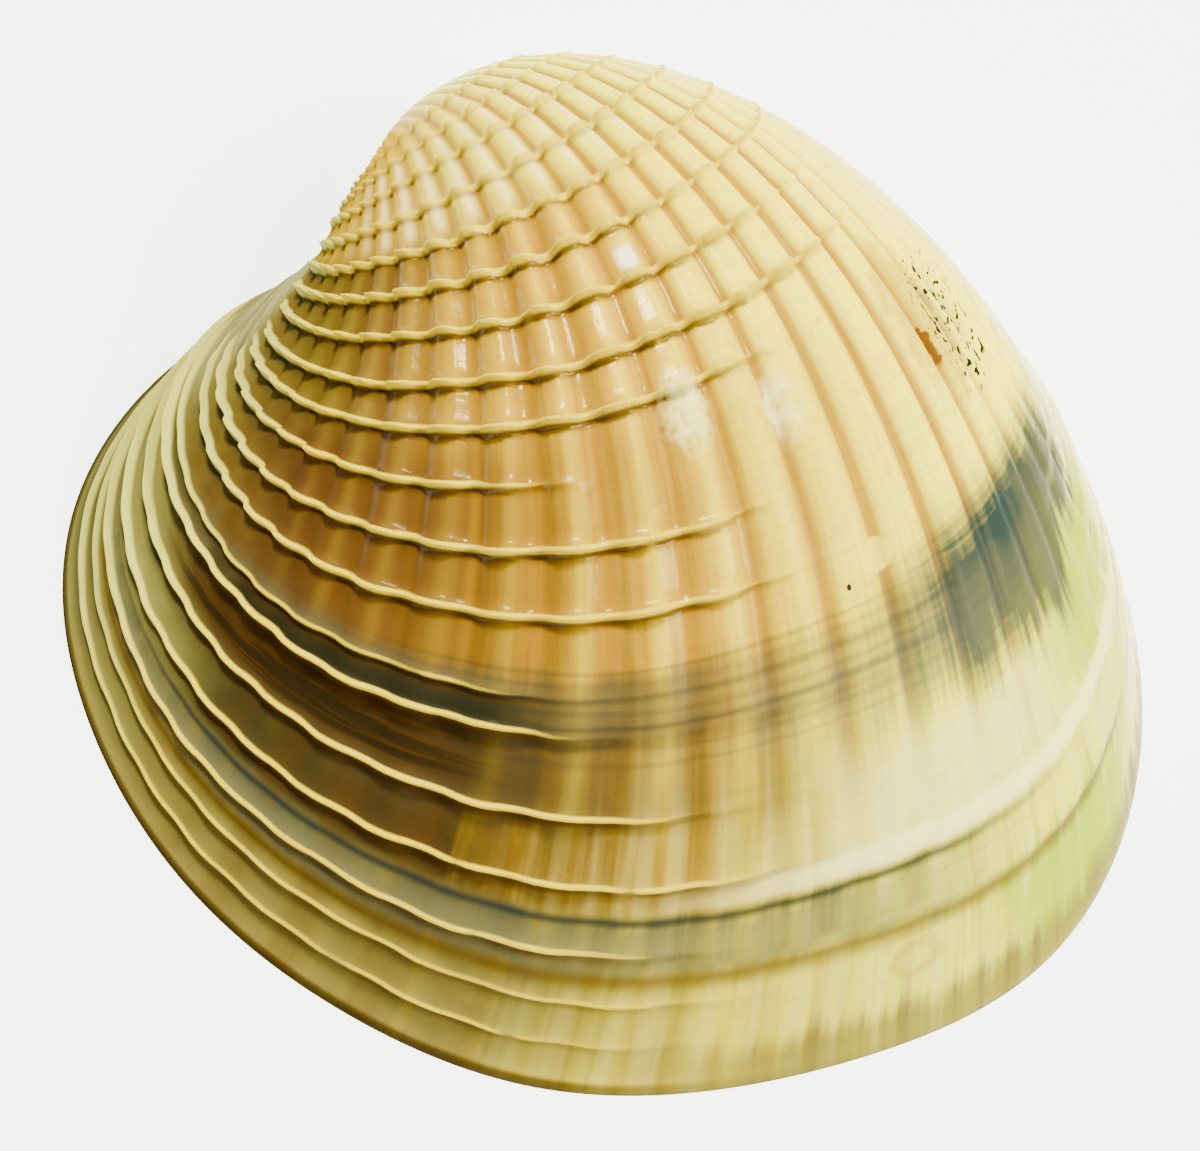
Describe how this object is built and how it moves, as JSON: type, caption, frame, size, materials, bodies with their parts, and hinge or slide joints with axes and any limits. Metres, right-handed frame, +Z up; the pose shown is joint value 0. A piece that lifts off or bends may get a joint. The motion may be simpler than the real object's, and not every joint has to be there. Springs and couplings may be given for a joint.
{
  "type": "cockle shell",
  "caption": "Domed half shell of a ribbed cockle-like clam, with raised growth lamellae, a beak turned to the front, a toothed hinge plate and a hollow underside.",
  "frame": {"origin": "middle of the shell's box, on the flat surface that its rim rests on", "axes": "+Z up from the resting rim through the back of the shell, +Y towards the hinge and beak, -X towards the front end, -Y towards the free edge"},
  "size_m": [0.034, 0.032, 0.0116],
  "materials": {
    "shell": "glossy, cream-yellow ribs with tan and grey growth bands"
  },
  "bodies": {
    "root": {"valve": "shell"}
  },
  "joints": []
}
